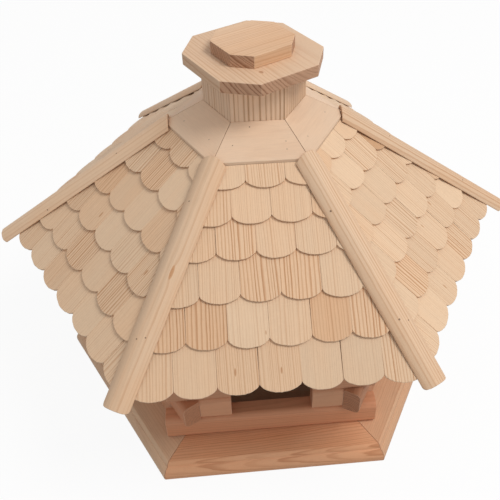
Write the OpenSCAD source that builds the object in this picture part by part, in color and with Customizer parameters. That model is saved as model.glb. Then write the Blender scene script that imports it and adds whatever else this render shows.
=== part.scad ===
// Hexagonal log cabin bird feeder with a shingled roof.
// Millimetres, +Z up, origin at the centre of the underside of the base.

/* [Base] */
// How far the foot of the base frame stands out past the walls
base_ledge = 39.8; // [30:0.1:50]
// Thickness of the base boards
base_t = 21; // [16:0.5:28]
// Width of the base boards, inner edge to outer foot
base_w = 72; // [60:1:90]
// How far the moulded nose of a base board stands out past its top edge
nose_out = 10.5; // [6:0.5:14]
// Height of the straight foot under the nose
nose_foot = 4; // [2:0.5:7]
// How far the bead at the top of the nose stands out past the top edge
bead_out = 3.5; // [2:0.25:5]
// Height of the bead at the top of the nose
bead_h = 6; // [4:0.5:8]
// Step between the bead and the round under it
quirk = 0.8; // [0.4:0.1:1.5]
// Thickness of the floor panel
floor_t = 12; // [8:1:18]

/* [Log walls] */
// Centre to the outer face of a wall
wall_reach = 181.5; // [170:0.5:190]
// Thickness of a log, inside face to outside face
log_d = 20; // [16:0.5:24]
// Height of a log, which is the height of a course
log_h = 34; // [28:0.5:36]
// Rounding of a log's outer edges
log_round = 7; // [3:0.5:9]
// Length of the sill and lintel logs past the corner
sill_past = 18; // [10:1:24]
// Length of the short logs past the corner
short_past = 12; // [6:1:18]
// Width of the feeding opening in each wall
opening_w = 92; // [70:1:110]

/* [Roof] */
// Centre to the outer ends of the hip caps
hip_reach = 300; // [285:1:330]
// Height of the shingles' crowns over the lintel logs, at the outer face of a wall
roof_lift = 69.6; // [62:0.1:76]
// Pitch of the roof faces
pitch = 38.5; // [36:0.5:42]
// Thickness of the roof boards
board_t = 9; // [6:0.5:12]
// How far the hip caps stand out past the butts of the lowest shingles
cap_past = 6.1; // [2:0.1:12]
// How far the lowest shingles stand out past the roof boards
butt_past = 20; // [12:0.5:28]
// Thickness of a shingle
shingle_t = 3; // [2:0.5:4]
// Width of a shingle
shingle_w = 39; // [32:0.5:50]
// Exposed length of the highest course, below the collar
last_show = 19.3; // [8:0.1:30]
// Exposed length of the lowest course as a share of the second highest one's
lowest_share = 1.15; // [1:0.05:1.6]
// Depth of the rounded butt of a shingle
butt_h = 9; // [5:0.5:14]
// Sideways place of the seams in the lowest course, from the middle of a face
seam_start = 23.6; // [0:0.1:38]
// Sideways shift of the seams from one course to the next
seam_shift = 15.5; // [8:0.1:32]

/* [Hip caps] */
// Width of a hip cap
cap_w = 28; // [22:1:36]
// Height of a hip cap's crest over the line where the shingles' crowns meet
cap_proud = 4.5; // [3:0.25:8]
// Width of the flat along the crest
cap_flat = 6; // [3:0.5:10]
// Thickness of a hip cap at its side edges
cap_edge = 1.2; // [0.8:0.1:2.5]
// Radius of the rounded sides, crest to side edge
cap_curve = 19; // [15:0.5:30]
// Rounding of the two corners at the outer end
cap_corner = 4.5; // [1:0.5:8]

/* [Collar and neck] */
// Centre to the lower edge of a collar board
collar_face = 83.5; // [78:0.5:90]
// Length cut from the lower corners of the collar, where the hip caps end
collar_clip = 4.4; // [2:0.2:8]
// Height of the collar boards' top over the shingles' crowns, at their lower edge
collar_lift = 1; // [0.5:0.25:3]
// How much flatter the collar boards lie than the roof
collar_ease = 6.5; // [4:0.1:8]
// Thickness of the collar boards
collar_t = 3; // [2:0.5:5]
// Centre to the corners of the neck
neck_reach = 54; // [46:0.5:60]
// Length of the neck that goes down between the roof boards
neck_tail = 36; // [20:1:40]
// Height of the neck over the top of the collar
neck_show = 40.5; // [30:0.5:60]

/* [Top] */
// Length of the cap plate
plate_l = 127; // [110:0.5:150]
// Width of the cap plate
plate_w = 123.5; // [110:0.5:140]
// Thickness of the cap plate
plate_t = 12.5; // [10:0.5:18]
// Length cut from each corner of the cap plate
plate_cut = 28.5; // [15:0.5:40]
// Length of the knob
knob_l = 77; // [50:1:95]
// Width of the knob
knob_w = 70; // [50:1:90]
// Thickness of the knob
knob_t = 13; // [10:0.5:20]
// Length cut from each corner of the knob
knob_cut = 17; // [8:1:22]
// Turn of the cap plate and the knob on the neck
top_turn = 30; // [0:5:60]

/* [Fits] */
// Gap at a glued joint between two pieces
joint = 0.2; // [0.1:0.05:0.4]

/* [Hidden] */
$fn = 64;
front = 0;
front_right = 1;
back_right = 2;
back = 3;
back_left = 4;
front_left = 5;
straight = [front, back_right, back_left];
crossing = [front_right, back, front_left];
corner = 30;
log_courses = 6;
shingle_courses = 6;
// Play between two shingles where they lap
lap_play = 1;
// Half the side of a hexagon as a share of its centre to face distance
half_side = tan(corner);
base_face = wall_reach + base_ledge;
base_inner = base_face - base_w;
wall_inner = wall_reach - log_d;
wall_corner = wall_reach * half_side;
lintel_top = base_t + (log_courses - 1) * log_h;
hip_face = hip_reach * cos(corner);
hip_pitch = atan(tan(pitch) * cos(corner));
// Fall of the roof faces away from a hip, for each millimetre square to it
hip_fall = tan(pitch) * sin(corner) * cos(hip_pitch);
eave_reach = hip_face - cap_past;
board_reach = eave_reach - butt_past;
neck_face = neck_reach * cos(corner);
// Centre to the upper ends of the highest shingles, under the collar
shingle_top = (neck_face + 3 * collar_face) / 4;
// Thickness of the overlapping shingles at a butt, over the roof boards
shingle_lay = 2 * shingle_t + lap_play;
board_low = shingle_lay + board_t;
// Slope lengths from over the centre to the lowest butts and to those of the highest course
eave_slope = (eave_reach - shingle_lay * sin(pitch)) / cos(pitch);
last_slope = collar_face / cos(pitch) + last_show;
// Exposed length of the second highest course
upper_show = (eave_slope - last_slope) * 2 / (1 + lowest_share) / (shingle_courses - 1);
collar_slope = pitch - collar_ease;
collar_drop = collar_t / cos(collar_slope);
collar_rise = (collar_face - neck_face) * tan(collar_slope);
collar_reach = collar_face / cos(corner) - collar_clip;
collar_h = crown_z(collar_face) + collar_lift;
collar_top = collar_h + collar_rise;
neck_low = collar_top - collar_drop - neck_tail;
plate_low = collar_top + neck_show;
big = 2000;

// Height of the shingles' crowns over the ground, at a distance from the centre
function crown_z(reach) = lintel_top + roof_lift + (wall_reach - reach) * tan(pitch);

// Exposed length of a shingle course below the highest, counted from 0 at the eave
function exposed(course) =
    upper_show * (lowest_share + (1 - lowest_share) * course / (shingle_courses - 2));

// How far up the slope a course's butts lie from the lowest ones
function climb(course) = course == 0 ? 0 : climb(course - 1) + exposed(course - 1);

// Puts a child drawn for the front side on another side
module on_side(side) {
    rotate([0, 0, 60 * side]) children();
}

// Upright wedge from the centre that holds one side, less half a joint
module side_wedge(gap = joint) {
    translate([0, -gap, 0])
        linear_extrude(big)
            polygon([[0, 0], [big * half_side, -big], [-big * half_side, -big]]);
}

// Plan outline of a rectangle with its corners cut off
module cut_corner_plate(long, wide, cut) {
    intersection() {
        square([wide, long], center = true);
        rotate([0, 0, 45])
            square((wide + long - 2 * cut) / sqrt(2), center = true);
    }
}

// A convex moulding on the profile: plumb at its foot, leaning in by out over its height
module moulding(reach, low, out, high) {
    bend = (out * out + high * high) / (2 * out);
    intersection() {
        translate([reach - bend, low])
            circle(bend);
        translate([base_inner, low])
            square([reach - base_inner, high]);
    }
}

// Cross profile of a base board: reach across, height up
module base_profile() {
    top_edge = base_face - nose_out;
    bead_low = base_t - bead_h;
    translate([base_inner, 0])
        square([base_w, nose_foot]);
    translate([base_inner, 0])
        square([base_w - nose_out, base_t]);
    moulding(top_edge + bead_out, bead_low, bead_out, bead_h);
    moulding(base_face, nose_foot, nose_out - bead_out - quirk, bead_low - nose_foot);
}

module base_board(side) {
    color("tan")
        on_side(side)
            intersection() {
                rotate([90, 0, -90])
                    linear_extrude(big, center = true)
                        base_profile();
                side_wedge();
            }
}

module floor_panel() {
    color("burlywood")
        translate([0, 0, base_t - floor_t])
            linear_extrude(floor_t)
                circle((base_inner - joint) / cos(corner), $fn = 6);
}

// Cross profile of a log: reach across, height up, outer edges rounded
module log_profile(low) {
    translate([wall_inner, low])
        square([log_d - log_round, log_h]);
    translate([wall_inner, low + log_round])
        square([log_d, log_h - 2 * log_round]);
    for (z = [log_round, log_h - log_round])
        translate([wall_reach - log_round, low + z])
            circle(log_round);
}

// Cross profile of a log of the highest course, to be cut to the roof's slope
module top_profile(low) {
    log_profile(low);
    translate([wall_inner, low + log_h / 2])
        square([log_d, 2 * log_h]);
}

// A log on the front side between two stations along the wall
module log_piece(course, from, to) {
    translate([(from + to) / 2, 0, 0])
        rotate([90, 0, -90])
            linear_extrude(to - from, center = true)
                if (course == log_courses - 1)
                    top_profile(base_t + course * log_h);
                else
                    log_profile(base_t + course * log_h);
}

// Takes away what lies past the inner faces of the two neighbouring walls
module between_walls() {
    difference() {
        children();
        for (turn = [-60, 60])
            rotate([0, 0, turn])
                translate([-big / 2, -big - wall_inner + joint, 0])
                    cube([big, big, big]);
    }
}

module long_log(side, course, past) {
    on_side(side)
        log_piece(course, -wall_corner - past, wall_corner + past);
}

module filler_log(side, course) {
    on_side(side)
        between_walls()
            log_piece(course, -wall_reach, wall_reach);
}

module short_log(side, course) {
    on_side(side) {
        log_piece(course, opening_w / 2, wall_corner + short_past);
        log_piece(course, -wall_corner - short_past, -opening_w / 2);
    }
}

module block(side, course) {
    on_side(side)
        between_walls() {
            log_piece(course, opening_w / 2, wall_reach);
            log_piece(course, -wall_reach, -opening_w / 2);
        }
}

// Upright prism under the roof boards of one side
module under_roof(side) {
    on_side(side)
        rotate([90, 0, -90])
            linear_extrude(big, center = true)
                polygon([
                    [-hip_face, 0],
                    [hip_face, 0],
                    [hip_face, crown_z(hip_face) - (board_low + joint) / cos(pitch)],
                    [-hip_face, crown_z(-hip_face) - (board_low + joint) / cos(pitch)]
                ]);
}

// Keeps what lies under the boards of a side and of both its neighbours
module under_eaves(side) {
    intersection() {
        children();
        under_roof(side);
        under_roof(side + 1);
        under_roof(side - 1);
    }
}

module sill_logs() {
    color("peru")
        for (side = straight)
            long_log(side, 0, sill_past);
}

module sill_fillers() {
    color("tan")
        for (side = crossing)
            filler_log(side, 0);
}

module short_logs_crossing() {
    color("burlywood")
        for (side = crossing)
            for (course = [1, 3])
                short_log(side, course);
}

module blocks_straight() {
    color("wheat")
        for (side = straight)
            for (course = [1, 3])
                block(side, course);
}

module short_logs_straight() {
    color("peru")
        for (side = straight)
            short_log(side, 2);
}

module blocks_crossing() {
    color("wheat")
        for (side = crossing)
            block(side, 2);
}

module lintel_logs() {
    color("peru")
        for (side = straight)
            long_log(side, 4, short_past);
}

module lintel_fillers() {
    color("tan")
        for (side = crossing)
            filler_log(side, 4);
}

module top_logs() {
    color("burlywood")
        for (side = crossing)
            under_eaves(side)
                long_log(side, 5, 0);
}

module top_fillers() {
    color("tan")
        for (side = straight)
            under_eaves(side)
                filler_log(side, 5);
}

// A strip of one roof face between two depths under the shingles' crowns
module roof_strip(from, to, shallow, deep) {
    rotate([90, 0, -90])
        linear_extrude(big, center = true)
            polygon([
                [from, crown_z(from) - deep / cos(pitch)],
                [to, crown_z(to) - deep / cos(pitch)],
                [to, crown_z(to) - shallow / cos(pitch)],
                [from, crown_z(from) - shallow / cos(pitch)]
            ]);
}

// Everything over the underside of the front collar board, less a joint
module collar_bed() {
    bed_low = collar_h - collar_drop - joint;
    bed_reach = collar_face + joint;
    rotate([90, 0, -90])
        linear_extrude(big, center = true)
            polygon([
                [0, bed_low + bed_reach * tan(collar_slope)],
                [bed_reach, bed_low],
                [bed_reach, big],
                [0, big]
            ]);
}

module roof_board(side) {
    color("burlywood")
        on_side(side)
            difference() {
                intersection() {
                    roof_strip(neck_face + joint, board_reach, shingle_lay, board_low);
                    side_wedge();
                }
                collar_bed();
            }
}

// Flat outline of one course: a strip up the slope with a rounded butt at each shingle
module course_outline(course, butt, top) {
    butt_r = (shingle_w * shingle_w / 4 + butt_h * butt_h) / (2 * butt_h);
    seam = (seam_start + seam_shift * course) % shingle_w;
    half = butt * cos(pitch) * half_side + shingle_w;
    translate([-half, butt_h - butt])
        square([2 * half, butt - butt_h - top]);
    for (n = [floor((-half - seam) / shingle_w) : ceil((half - seam) / shingle_w)])
        translate([seam + (n + 0.5) * shingle_w, -butt])
            intersection() {
                translate([0, butt_r])
                    circle(butt_r);
                translate([-shingle_w / 2, 0])
                    square([shingle_w, butt_h + joint]);
            }
}

// One course on the front face, thinning up the slope to slip under the next
module shingle_course(course) {
    butt = eave_slope - climb(course);
    top = course == shingle_courses - 1
        ? shingle_top / cos(pitch)
        : butt - exposed(course) - butt_h - shingle_t;
    thin = shingle_lay - shingle_t * (butt - top) / upper_show;
    translate([0, 0, crown_z(0) - shingle_lay / cos(pitch)])
        rotate([pitch, 0, 0])
            intersection() {
                linear_extrude(shingle_lay)
                    course_outline(course, butt, top);
                rotate([90, 0, 90])
                    linear_extrude(big, center = true)
                        polygon([
                            [-butt - butt_h, joint],
                            [-butt - butt_h, shingle_lay],
                            [-butt, shingle_lay],
                            [-top, thin],
                            [-top, joint]
                        ]);
            }
}

module shingle_field(side) {
    color("wheat")
        on_side(side)
            difference() {
                intersection() {
                    for (course = [0 : shingle_courses - 1])
                        shingle_course(course);
                    side_wedge();
                }
                collar_bed();
            }
}

// Cross profile of a hip cap seen along the hip, the meeting line of the crowns at the origin
module cap_profile() {
    half = cap_w / 2;
    edge_top = cap_edge - half * hip_fall;
    side_w = half - cap_flat / 2;
    side_h = cap_proud - edge_top;
    side_slope = atan2(side_h, side_w);
    // From the middle of a side, crest to edge, in to the centre of its curve
    inward = sqrt(cap_curve * cap_curve - (side_w * side_w + side_h * side_h) / 4);
    centre_x = (half + cap_flat / 2) / 2 - inward * sin(side_slope);
    centre_y = (cap_proud + edge_top) / 2 - inward * cos(side_slope);
    intersection() {
        translate([-half, -half])
            square([cap_w, half + cap_proud]);
        translate([centre_x, centre_y])
            circle(cap_curve);
        translate([-centre_x, centre_y])
            circle(cap_curve);
    }
}

// Outline of a hip cap seen square to the hip, outer end at the origin
module cap_outline() {
    inset = cap_w / 2 - cap_corner;
    translate([-inset, 0])
        square([2 * inset, hip_reach]);
    translate([-cap_w / 2, cap_corner])
        square([cap_w, hip_reach - cap_corner]);
    for (x = [-inset, inset])
        translate([x, cap_corner])
            circle(cap_corner);
}

// A hip cap laid level before its groove is cut, running back from the origin
module cap_strip() {
    intersection() {
        rotate([90, 0, 180])
            linear_extrude(hip_reach)
                cap_profile();
        translate([0, 0, -cap_w])
            linear_extrude(2 * cap_w)
                cap_outline();
    }
}

// A hip cap over the corner between a side and the next one, grooved to sit on both
module hip_cap(side) {
    color("navajowhite")
        rotate([0, 0, 60 * side + corner])
            intersection() {
                difference() {
                    translate([0, -hip_reach, crown_z(hip_face)])
                        rotate([hip_pitch, 0, 0])
                            cap_strip();
                    intersection_for(turn = [-corner, corner])
                        rotate([0, 0, turn])
                            roof_strip(-big, big, -joint, big);
                }
                translate([-big / 2, -big - collar_reach - joint, 0])
                    cube([big, big, big]);
            }
}

// A collar board, drawn flat in plan and laid on the slope
module collar_board(side) {
    color("tan")
        on_side(side)
            intersection() {
                rotate([90, 0, -90])
                    linear_extrude(big, center = true)
                        polygon([
                            [neck_face + joint, collar_top],
                            [collar_face, collar_h],
                            [collar_face, collar_h - collar_drop],
                            [neck_face + joint, collar_top - collar_drop]
                        ]);
                side_wedge();
                linear_extrude(big)
                    intersection_for(edge = [-corner, corner])
                        rotate([0, 0, edge])
                            translate([-big, -collar_reach])
                                square([2 * big, 2 * big]);
            }
}

module neck() {
    color("tan")
        translate([0, 0, neck_low])
            linear_extrude(plate_low - neck_low)
                circle(neck_reach, $fn = 6);
}

module cap_plate() {
    color("tan")
        translate([0, 0, plate_low])
            rotate([0, 0, top_turn])
                linear_extrude(plate_t)
                    cut_corner_plate(plate_l, plate_w, plate_cut);
}

module knob() {
    color("peru")
        translate([0, 0, plate_low + plate_t])
            rotate([0, 0, top_turn])
                linear_extrude(knob_t)
                    cut_corner_plate(knob_w, knob_l, knob_cut);
}

base_board(front);  // base_board_front
base_board(front_right);  // base_board_front_right
base_board(back_right);  // base_board_back_right
base_board(back);  // base_board_back
base_board(back_left);  // base_board_back_left
base_board(front_left);  // base_board_front_left
floor_panel();
sill_logs();
sill_fillers();
short_logs_crossing();
blocks_straight();
short_logs_straight();
blocks_crossing();
lintel_logs();
lintel_fillers();
top_logs();
top_fillers();
roof_board(front);  // roof_board_front
roof_board(front_right);  // roof_board_front_right
roof_board(back_right);  // roof_board_back_right
roof_board(back);  // roof_board_back
roof_board(back_left);  // roof_board_back_left
roof_board(front_left);  // roof_board_front_left
shingle_field(front);  // shingles_front
shingle_field(front_right);  // shingles_front_right
shingle_field(back_right);  // shingles_back_right
shingle_field(back);  // shingles_back
shingle_field(back_left);  // shingles_back_left
shingle_field(front_left);  // shingles_front_left
hip_cap(front);  // hip_cap_front_right
hip_cap(front_right);  // hip_cap_right
hip_cap(back_right);  // hip_cap_back_right
hip_cap(back);  // hip_cap_back_left
hip_cap(back_left);  // hip_cap_left
hip_cap(front_left);  // hip_cap_front_left
collar_board(front);  // collar_board_front
collar_board(front_right);  // collar_board_front_right
collar_board(back_right);  // collar_board_back_right
collar_board(back);  // collar_board_back
collar_board(back_left);  // collar_board_back_left
collar_board(front_left);  // collar_board_front_left
neck();
cap_plate();
knob();
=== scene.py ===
import math
import random

import bmesh
import bpy
import numpy as np
from mathutils import Matrix, Vector


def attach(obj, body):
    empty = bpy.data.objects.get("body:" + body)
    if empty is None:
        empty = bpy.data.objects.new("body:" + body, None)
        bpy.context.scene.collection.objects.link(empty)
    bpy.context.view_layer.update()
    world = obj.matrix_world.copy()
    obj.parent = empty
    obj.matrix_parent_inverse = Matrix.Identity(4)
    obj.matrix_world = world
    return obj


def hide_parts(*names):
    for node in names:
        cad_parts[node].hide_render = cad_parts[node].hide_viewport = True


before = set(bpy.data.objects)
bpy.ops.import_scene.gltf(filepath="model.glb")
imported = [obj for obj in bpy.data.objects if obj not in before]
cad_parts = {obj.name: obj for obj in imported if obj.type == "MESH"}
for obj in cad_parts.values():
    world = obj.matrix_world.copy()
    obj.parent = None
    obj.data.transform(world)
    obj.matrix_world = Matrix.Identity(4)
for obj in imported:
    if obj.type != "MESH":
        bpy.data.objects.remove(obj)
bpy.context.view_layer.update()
print("frame loaded:", len(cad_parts), "nodes")

mm = 0.001
sideNames = ["front", "front_right", "back_right", "back", "back_left", "front_left"]
straightSides = [0, 2, 4]
crossingSides = [1, 3, 5]

# sizes in mm, the same as the construction model
feeder = {
    "wallReach": 181.5, "logDepth": 20, "logHeight": 34, "logRound": 7,
    "sillPast": 18, "shortPast": 12, "opening": 92,
    "baseThick": 21, "baseWidth": 72, "baseLedge": 39.8, "floorThick": 12,
    "hipReach": 300, "roofLift": 69.6, "pitch": 38.5,
    "boardThick": 9, "capPast": 6.1, "buttPast": 20, "lay": 7,
    "collarFace": 83.5, "collarClip": 4.4, "collarLift": 1, "collarEase": 6.5, "collarThick": 3,
    "neckReach": 54, "neckTail": 36, "neckShow": 40.5, "topTurn": 30,
}
pitch = math.radians(feeder["pitch"])
sinP, cosP, tanP = math.sin(pitch), math.cos(pitch), math.tan(pitch)
halfSide = math.tan(math.radians(30))
cos30 = math.cos(math.radians(30))
baseThick = feeder["baseThick"]
logHeight = feeder["logHeight"]
wallReach = feeder["wallReach"]
wallInner = wallReach - feeder["logDepth"]
wallCorner = wallReach * halfSide
lintelTop = baseThick + 5 * logHeight
hipFace = feeder["hipReach"] * cos30
neckFace = feeder["neckReach"] * cos30
lay = feeder["lay"]                                   # depth of the roof boards under the shingles' crowns


def crownZ(reach):
    return lintelTop + feeder["roofLift"] + (wallReach - reach) * tanP


collarSlope = math.radians(feeder["pitch"] - feeder["collarEase"])
collarDrop = feeder["collarThick"] / math.cos(collarSlope)
collarRise = (feeder["collarFace"] - neckFace) * math.tan(collarSlope)
collarLow = crownZ(feeder["collarFace"]) + feeder["collarLift"]
collarTop = collarLow + collarRise
collarReach = feeder["collarFace"] / cos30 - feeder["collarClip"]
plateLow = collarTop + feeder["neckShow"]


def nodeKit(tree):
    # short calls that add nodes to one tree
    def put(value, socket):
        if hasattr(value, "links"):
            tree.links.new(value, socket)
        else:
            socket.default_value = value

    def add(kind, inputs=None, **settings):
        node = tree.nodes.new(kind)
        for key, value in settings.items():
            setattr(node, key, value)
        for key, value in (inputs or {}).items():
            put(value, node.inputs[key])
        return node

    def calc(operation, a, b=0.0, c=0.0, clamp=False):
        return add("ShaderNodeMath", {0: a, 1: b, 2: c}, operation=operation, use_clamp=clamp).outputs[0]

    def ramp(value, low, high, toLow=0.0, toHigh=1.0, smooth=True):
        node = add("ShaderNodeMapRange", {"Value": value, "From Min": low, "From Max": high,
                                          "To Min": toLow, "To Max": toHigh})
        node.interpolation_type = "SMOOTHSTEP" if smooth else "LINEAR"
        return node.outputs["Result"]

    def noiseAt(vector, detail=2.0, rough=0.5):
        return add("ShaderNodeTexNoise", {"Vector": vector, "Scale": 1.0,
                                          "Detail": detail, "Roughness": rough})

    def mix(factor, a, b, blend="MIX"):
        node = add("ShaderNodeMix", data_type="RGBA", blend_type=blend)
        put(factor, node.inputs["Factor"])
        for key, value in (("A", a), ("B", b)):
            put(value, [s for s in node.inputs if s.name == key and s.type == "RGBA"][0])
        return [s for s in node.outputs if s.type == "RGBA"][0]

    return add, calc, ramp, noiseAt, mix


def rgb(red, green, blue):
    return (red, green, blue, 1.0)


def emptyTree(owner):
    owner.use_nodes = True
    owner.node_tree.nodes.clear()
    return owner.node_tree


def endTree(tree, shader, kind="ShaderNodeOutputMaterial"):
    output = tree.nodes.new(kind)
    tree.links.new(shader.outputs[0], output.inputs[0])


def woodMaterial(name, wood):
    # growth rings, fibres, knots and end grain, laid out in each timber's own log
    material = bpy.data.materials.new(name)
    tree = emptyTree(material)
    add, calc, ramp, noiseAt, mix = nodeKit(tree)

    def spread(along, across):
        return add("ShaderNodeCombineXYZ", {"X": calc("DIVIDE", gx, along), "Y": calc("DIVIDE", gy, across),
                                            "Z": calc("DIVIDE", gz, across)}).outputs[0]

    def parts(attribute):
        source = add("ShaderNodeAttribute", attribute_name=attribute)
        split = add("ShaderNodeSeparateXYZ", {0: source.outputs["Vector"]})
        return split.outputs

    gx, gy, gz = parts("grain")
    light, ruddy, stripe = parts("tone")
    knotX, knotY, knotSize = parts("knot")
    ends = add("ShaderNodeAttribute", attribute_name="endGrain").outputs["Fac"]
    # marked eased faces get a painted highlight, a paler colour in place of the light an edge catches
    edgeHighlight = add("ShaderNodeAttribute", attribute_name="edgeHighlight").outputs["Fac"]

    wander = noiseAt(spread(wood["waveLength"], 34), 2.0)
    drift = add("ShaderNodeSeparateXYZ", {0: wander.outputs["Color"]})
    swayY = calc("MULTIPLY_ADD", calc("SUBTRACT", drift.outputs[0], 0.5), wood["wave"], gy)
    swayZ = calc("MULTIPLY_ADD", calc("SUBTRACT", drift.outputs[1], 0.5), wood["wave"], gz)
    ripple = calc("SUBTRACT", noiseAt(spread(24, 4.5), 2.0).outputs["Fac"], 0.5)

    safeSize = calc("MAXIMUM", knotSize, 0.01)
    knotAlong = calc("DIVIDE", knotX, wood["knotLong"])
    knotOff = calc("ADD", calc("MULTIPLY", knotAlong, knotAlong), calc("MULTIPLY", knotY, knotY))
    knotFar = calc("DIVIDE", calc("SQRT", knotOff), safeSize)
    knotWobble = calc("MULTIPLY_ADD", ripple, 0.5, knotFar)
    fade = calc("MULTIPLY", calc("POWER", calc("DIVIDE", knotFar, 1.9), 2.0), -1.0)
    bulge = calc("MULTIPLY", calc("EXPONENT", fade), calc("MULTIPLY", knotSize, 1.5))

    radius = calc("SQRT", calc("ADD", calc("MULTIPLY", swayY, swayY), calc("MULTIPLY", swayZ, swayZ)))
    radius = calc("ADD", calc("MULTIPLY_ADD", ripple, 1.1, radius), bulge)
    years = add("ShaderNodeTexNoise", {"W": calc("DIVIDE", radius, 13.0), "Scale": 1.0, "Detail": 1.0},
                noise_dimensions="1D").outputs["Fac"]
    ring = calc("MULTIPLY_ADD", years, 2.2, calc("DIVIDE", radius, wood["ringWidth"]))
    part = calc("FRACT", ring)
    year = add("ShaderNodeTexWhiteNoise", {"W": calc("FLOOR", ring)}, noise_dimensions="1D").outputs["Value"]
    late = calc("MULTIPLY", ramp(part, 0.42, 0.84), ramp(part, 0.9, 1.0, 1.0, 0.0))
    lateDark = calc("MULTIPLY", late, ramp(year, 0, 1, 0.35, 1.0, smooth=False))

    fibre = calc("SUBTRACT", noiseAt(spread(16, 0.5), 3.0, 0.6).outputs["Fac"], 0.5)
    sawn = calc("SUBTRACT", noiseAt(spread(0.8, 9), 2.0, 0.6).outputs["Fac"], 0.5)
    streak = calc("SUBTRACT", noiseAt(spread(70, 2.6), 3.0, 0.6).outputs["Fac"], 0.5)
    blotch = calc("SUBTRACT", noiseAt(spread(75, 26), 2.0).outputs["Fac"], 0.5)

    warmth = calc("MULTIPLY_ADD", blotch, wood["blotch"], ruddy, clamp=True)
    colour = mix(warmth, rgb(*wood["pale"]), rgb(*wood["ruddy"]))
    band = calc("MULTIPLY", lateDark, calc("MULTIPLY", stripe, wood["stripes"]), clamp=True)
    band = calc("MULTIPLY_ADD", streak, 0.28, band, clamp=True)
    colour = mix(band, colour, rgb(*wood["late"]))
    pores = noiseAt(spread(0.7, 0.7), 2.0, 0.7).outputs["Fac"]
    endBand = calc("MULTIPLY_ADD", lateDark, calc("MULTIPLY", stripe, wood["endStripes"]),
                   calc("MULTIPLY", ramp(pores, 0.45, 0.75), 0.4), clamp=True)
    endColour = mix(endBand, rgb(*wood["endPale"]), rgb(*wood["endLate"]))
    colour = mix(ends, colour, endColour)
    # painted highlight: marked faces are mixed towards a paler tone
    colour = mix(calc("MULTIPLY", edgeHighlight, wood["edgeHighlight"]), colour, rgb(*wood["edgeHighlightTone"]))

    knotRings = calc("MULTIPLY_ADD", calc("SINE", calc("MULTIPLY", knotWobble, 15.0)), 0.12, 0.8)
    knotMask = calc("MULTIPLY", ramp(knotWobble, 0.75, 1.25, 1.0, 0.0), knotRings)
    colour = mix(knotMask, colour, rgb(*wood["knot"]))
    shade = calc("MULTIPLY_ADD", fibre, wood["fibre"], light)
    shade = calc("MULTIPLY_ADD", blotch, 0.10, shade)
    shade = calc("MULTIPLY_ADD", sawn, wood["sawn"], shade)
    colour = add("ShaderNodeVectorMath", {0: colour, "Scale": shade}, operation="SCALE").outputs[0]

    height = calc("MULTIPLY", lateDark, wood["ridge"])
    height = calc("MULTIPLY_ADD", fibre, wood["fuzz"], height)
    height = calc("MULTIPLY_ADD", ends, calc("MULTIPLY", pores, 0.5), height)
    height = calc("MULTIPLY_ADD", sawn, 0.06, height)
    bump = add("ShaderNodeBump", {"Strength": 0.9, "Distance": mm, "Height": height})
    rough = calc("MULTIPLY_ADD", fibre, 0.25, calc("MULTIPLY_ADD", lateDark, -0.1, wood["rough"]), clamp=True)
    shader = add("ShaderNodeBsdfPrincipled",
                 {"Base Color": colour, "Roughness": rough, "Normal": bump.outputs[0]})
    shader.inputs["Specular IOR Level"].default_value = 0.28
    endTree(tree, shader)
    return material


# one strength and one paler colour in each wood set its painted edge highlight
plainWood = {
    "pale": (0.77, 0.555, 0.375), "ruddy": (0.71, 0.42, 0.235), "late": (0.50, 0.255, 0.125),
    "endPale": (0.56, 0.335, 0.20), "endLate": (0.25, 0.115, 0.06), "endStripes": 0.75,
    "knot": (0.25, 0.11, 0.05), "knotLong": 1.35, "edgeHighlight": 0.35, "edgeHighlightTone": (0.86, 0.68, 0.50), "sawn": 0.07,
    "ringWidth": 3.4, "wave": 6.0, "waveLength": 150, "stripes": 1.0, "blotch": 0.5,
    "fibre": 0.22, "ridge": 0.10, "fuzz": 0.12, "rough": 0.62,
}
woods = {
    "shingle_wood": dict(plainWood, stripes=0.95, wave=2.2, waveLength=220, ringWidth=3.0, ridge=0.14,
                         knot=(0.46, 0.22, 0.10), knotLong=4.0),
    "cap_wood": dict(plainWood, pale=(0.745, 0.53, 0.36), stripes=0.7, blotch=1.0, ringWidth=3.6, wave=3,
                     endPale=(0.64, 0.43, 0.285), endLate=(0.38, 0.20, 0.11),
                     knot=(0.52, 0.25, 0.11), knotLong=4.5),
    "collar_wood": dict(plainWood, pale=(0.76, 0.55, 0.39), stripes=0.16, blotch=0.35, ringWidth=5.5,
                        wave=10, sawn=0.03),
    "top_wood": dict(plainWood, pale=(0.72, 0.505, 0.345), stripes=0.55, ringWidth=4.4, edgeHighlight=0.1,
                     knot=(0.43, 0.22, 0.12), endPale=(0.60, 0.36, 0.23), endLate=(0.32, 0.145, 0.075),
                     endStripes=1.1),
    "base_wood": dict(plainWood, pale=(0.72, 0.48, 0.31), ruddy=(0.66, 0.325, 0.17), late=(0.44, 0.18, 0.08),
                      stripes=0.75, ringWidth=2.9, wave=14, waveLength=260, edgeHighlight=0.25,
                      edgeHighlightTone=(0.76, 0.47, 0.30)),
    "log_wood": dict(plainWood, pale=(0.60, 0.34, 0.205), ruddy=(0.56, 0.24, 0.125), stripes=0.6,
                     late=(0.36, 0.14, 0.065), ringWidth=3.2, wave=9, endPale=(0.56, 0.27, 0.15),
                     endLate=(0.20, 0.075, 0.04), endStripes=0.7, edgeHighlight=0.4, edgeHighlightTone=(0.70, 0.44, 0.29)),
    "board_wood": dict(plainWood, pale=(0.62, 0.40, 0.25), ruddy=(0.55, 0.30, 0.16), stripes=0.6,
                       ringWidth=4.0),
}
finishes = {slot: woodMaterial(slot, wood) for slot, wood in woods.items()}
print("wood finishes made:", len(finishes))


nailSteel = {"dark": (0.16, 0.095, 0.06), "light": (0.30, 0.19, 0.12), "spots": 900.0, "metal": 0.3}


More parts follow.
